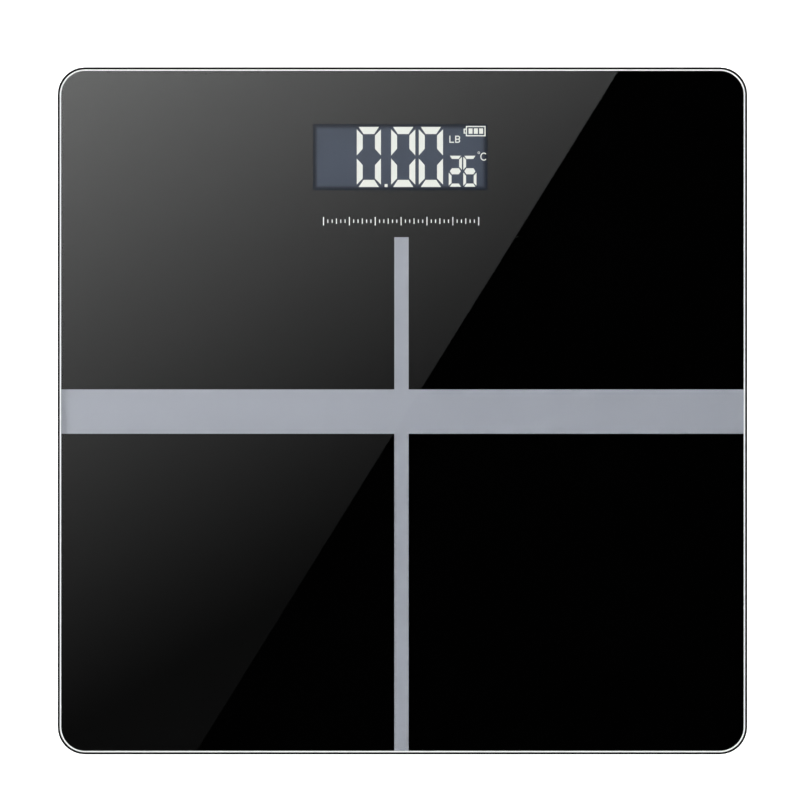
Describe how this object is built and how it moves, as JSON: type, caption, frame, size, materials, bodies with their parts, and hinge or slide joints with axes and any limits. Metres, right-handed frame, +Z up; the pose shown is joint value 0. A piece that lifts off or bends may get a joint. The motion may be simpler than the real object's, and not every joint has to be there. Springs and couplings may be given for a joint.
{
  "type": "digital bathroom scale",
  "caption": "Square glass-topped digital bathroom scale with a lit display near one edge, a moulded base and load cell feet.",
  "frame": {"origin": "on the floor, under the middle of the platform", "axes": "+Z up, +Y towards the edge nearest the display, +X to the right of a person who reads it"},
  "size_m": [0.28, 0.279, 0.025],
  "materials": {
    "tempered_glass": "clear, polished face, ground edge",
    "black_ink": "opaque black print seen through glass",
    "silver_ink": "satin silver grey print seen through glass",
    "foam": "matt closed-cell foam",
    "black_plastic": "fine spark-eroded moulding texture",
    "grey_plastic": "smooth moulded",
    "lcd_glass": "negative LCD, lit characters on slate",
    "light_guide": "frosted acrylic light guide",
    "elastomer": "layered conductive rubber",
    "circuit_board": "green solder mask",
    "epoxy": "black moulded epoxy",
    "steel": "plain cold-rolled, lightly brushed",
    "nickel_plate": "nickel plated spring steel",
    "battery_wrap": "printed shrink sleeve, no lettering",
    "gauge_resin": "white silicone seal",
    "pad_rubber": "matt grippy rubber",
    "lead_insulation": "soft PVC insulation"
  },
  "bodies": {
    "platform": {"glass_platform": "tempered_glass", "black_back_print": "black_ink", "silver_cross_print": "silver_ink", "foam_tape_front": "foam", "foam_tape_back": "foam", "foam_tape_left": "foam", "foam_tape_right": "foam", "display_gasket": "foam", "base_tray": "black_plastic", "display_holder": "grey_plastic", "load_cell_carrier_front_left": "grey_plastic", "load_cell_carrier_front_right": "grey_plastic", "load_cell_carrier_back_left": "grey_plastic", "load_cell_carrier_back_right": "grey_plastic", "lcd_panel": "lcd_glass", "backlight_panel": "light_guide", "zebra_strip_front": "elastomer", "zebra_strip_back": "elastomer", "main_board": "circuit_board", "controller_blob": "epoxy", "amplifier_chip": "epoxy", "temperature_sensor": "epoxy", "board_screw_1": "steel", "board_screw_2": "steel", "board_screw_3": "steel", "board_screw_4": "steel", "unit_switch": "steel", "battery_contact_bridge": "nickel_plate", "battery_contact_positive": "nickel_plate", "battery_contact_negative": "nickel_plate", "battery_1": "battery_wrap", "battery_2": "battery_wrap", "load_cell_lead_front_left": "lead_insulation", "load_cell_lead_front_right": "lead_insulation", "load_cell_lead_back_left": "lead_insulation", "load_cell_lead_back_right": "lead_insulation", "battery_lead_positive": "lead_insulation", "battery_lead_negative": "lead_insulation"},
    "foot_front_left": {"foot_pad_front_left": "pad_rubber", "foot_cup_front_left": "black_plastic", "load_cell_front_left": "steel", "strain_gauge_front_left": "gauge_resin"},
    "foot_front_right": {"foot_pad_front_right": "pad_rubber", "foot_cup_front_right": "black_plastic", "load_cell_front_right": "steel", "strain_gauge_front_right": "gauge_resin"},
    "foot_back_left": {"foot_pad_back_left": "pad_rubber", "foot_cup_back_left": "black_plastic", "load_cell_back_left": "steel", "strain_gauge_back_left": "gauge_resin"},
    "foot_back_right": {"foot_pad_back_right": "pad_rubber", "foot_cup_back_right": "black_plastic", "load_cell_back_right": "steel", "strain_gauge_back_right": "gauge_resin"},
    "battery_door": {"battery_door": "black_plastic"},
    "unit_button": {"unit_button": "grey_plastic", "switch_plunger": "epoxy"}
  },
  "joints": [
    {"name": "foot_front_left_drop", "type": "slide", "parent": "platform", "child": "foot_front_left", "axis": [0, 0, -1], "range_m": [0, 0.001]},
    {"name": "foot_front_right_drop", "type": "slide", "parent": "platform", "child": "foot_front_right", "axis": [0, 0, -1], "range_m": [0, 0.001]},
    {"name": "foot_back_left_drop", "type": "slide", "parent": "platform", "child": "foot_back_left", "axis": [0, 0, -1], "range_m": [0, 0.001]},
    {"name": "foot_back_right_drop", "type": "slide", "parent": "platform", "child": "foot_back_right", "axis": [0, 0, -1], "range_m": [0, 0.001]},
    {"name": "battery_door_hinge", "type": "hinge", "parent": "platform", "child": "battery_door", "pos_m": [-0.0267, 0.045, 0.0058], "axis": [0, 1, 0], "range_deg": [0, 75]},
    {"name": "unit_button_press", "type": "slide", "parent": "platform", "child": "unit_button", "axis": [0, 0, 1], "range_m": [0, 0.0005], "stiffness_N_per_m": 600, "springref_m": -0.0005}
  ]
}
